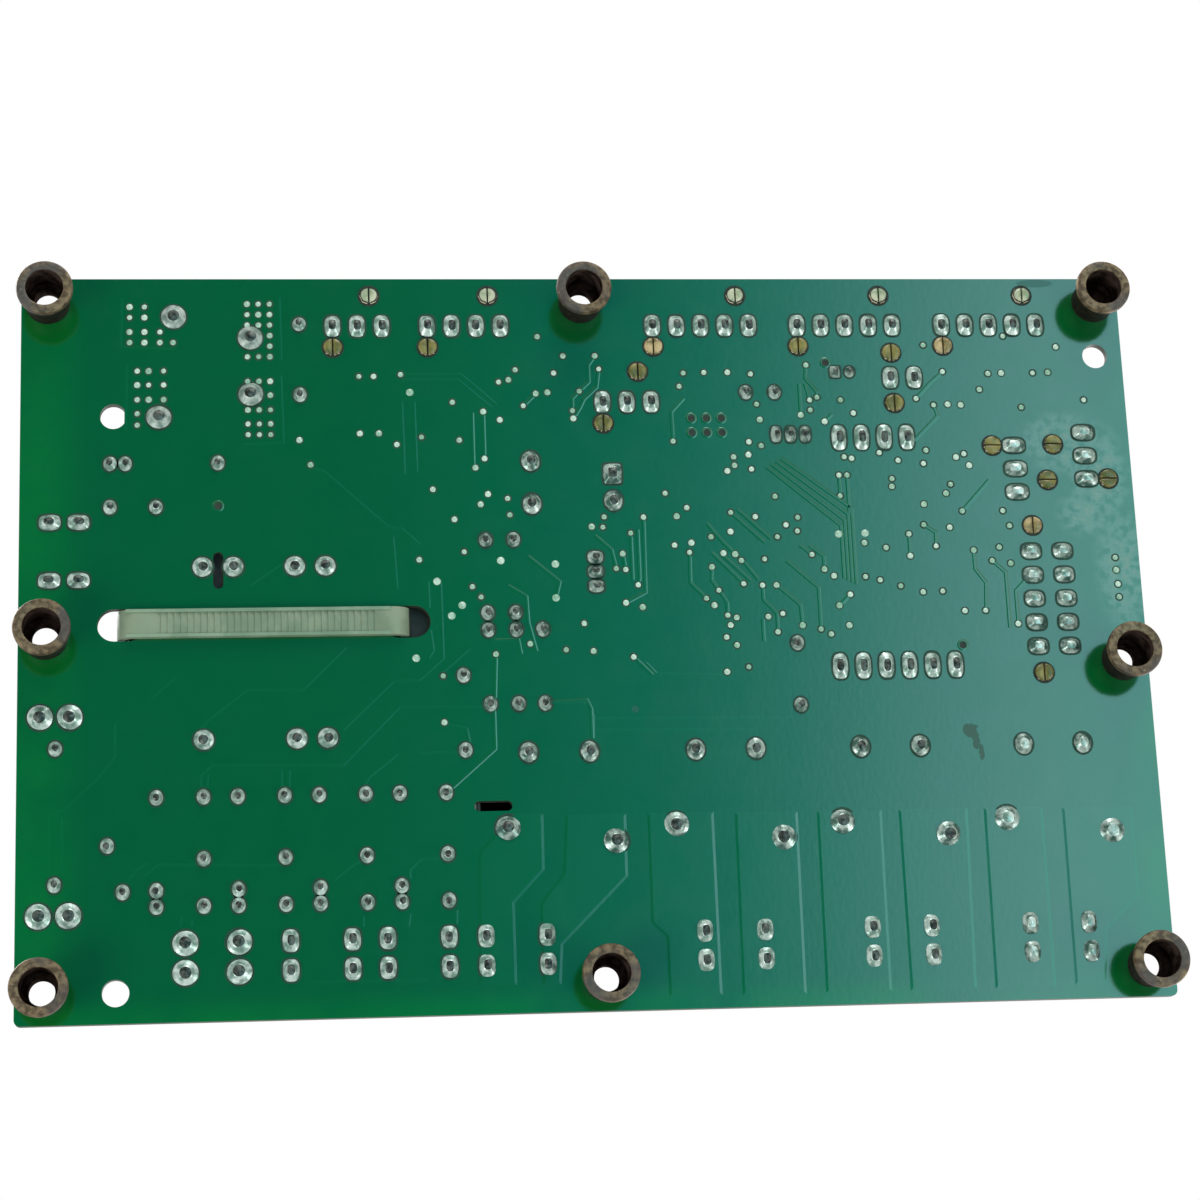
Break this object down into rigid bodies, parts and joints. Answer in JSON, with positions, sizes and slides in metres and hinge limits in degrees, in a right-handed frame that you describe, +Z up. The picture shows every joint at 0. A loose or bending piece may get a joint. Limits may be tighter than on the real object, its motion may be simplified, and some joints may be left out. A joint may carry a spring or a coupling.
{
  "type": "oven control board",
  "caption": "Populated control board of an oven on brass standoffs, with relays, headers, blade terminals and a transformer held by a cable tie.",
  "frame": {"origin": "under the middle of the board, in the plane of the standoffs' feet", "axes": "+X along the board's long side, from the fuse end to the power connector end; +Y from the connector edge to the terminal edge; +Z up from the feet to the component side"},
  "size_m": [0.1906, 0.1267, 0.0427],
  "materials": {
    "board": "glossy green solder mask over glass epoxy",
    "tarnished_brass": "dull tarnished brass",
    "header_nylon": "ivory nylon",
    "black_moulding": "black moulding compound",
    "tinned_metal": "tin plated",
    "lamination_steel": "varnished laminations",
    "bobbin_nylon": "black glass-filled nylon",
    "winding_tape": "yellow polyester tape",
    "tie_nylon": "natural nylon",
    "power_relay_case": "black relay case",
    "small_relay_case": "white relay case",
    "fuse_glass": "clear glass",
    "varistor_coating": "blue epoxy coating",
    "copper_wire": "enamelled copper wire",
    "capacitor_sleeve": "shrink sleeve",
    "film_case": "yellow case",
    "resistor_coating": "tan coating",
    "can_metal": "bright metal can",
    "chip_ceramic": "fired ceramic",
    "solder": "bright solder"
  },
  "bodies": {
    "root": {"circuit_board": "board", "standoff_front_left": "tarnished_brass", "standoff_front_middle": "tarnished_brass", "standoff_front_right": "tarnished_brass", "standoff_middle_left": "tarnished_brass", "standoff_middle_right": "tarnished_brass", "standoff_rear_left": "tarnished_brass", "standoff_rear_middle": "tarnished_brass", "standoff_rear_right": "tarnished_brass", "header_three_way": "header_nylon", "header_four_way": "header_nylon", "header_five_way_1": "header_nylon", "header_five_way_2": "header_nylon", "header_five_way_3": "header_nylon", "inner_header_three_way": "header_nylon", "side_header_1": "header_nylon", "side_header_2": "header_nylon", "header_two_way": "header_nylon", "wide_header_four_way": "header_nylon", "wide_header_six_way": "header_nylon", "power_connector": "header_nylon", "jumper_base": "black_moulding", "connector_pins": "tinned_metal", "transformer_core": "lamination_steel", "transformer_bobbin": "bobbin_nylon", "transformer_primary_winding": "winding_tape", "transformer_secondary_winding": "winding_tape", "cable_tie": "tie_nylon", "side_blades": "tinned_metal", "rear_blades_left": "tinned_metal", "rear_blades_right": "tinned_metal", "fuse": "fuse_glass", "fuse_clips": "tinned_metal", "varistor": "varistor_coating", "choke_front": "copper_wire", "choke_rear": "copper_wire", "choke_bases": "black_moulding", "large_capacitor": "capacitor_sleeve", "medium_capacitor": "capacitor_sleeve", "small_capacitor": "capacitor_sleeve", "film_capacitors": "film_case", "diodes": "black_moulding", "resistors": "resistor_coating", "regulator": "black_moulding", "transistor": "black_moulding", "crystal": "can_metal", "microcontroller": "black_moulding", "driver_chips": "black_moulding", "surface_passives": "chip_ceramic", "solder_headers": "solder", "solder_power_parts": "solder", "solder_leaded_parts": "solder", "power_relay_1": "power_relay_case", "small_relay_1": "small_relay_case", "power_relay_2": "power_relay_case", "small_relay_2": "small_relay_case", "power_relay_3": "power_relay_case", "small_relay_3": "small_relay_case", "power_relay_4": "power_relay_case", "small_relay_4": "small_relay_case"}
  },
  "joints": []
}
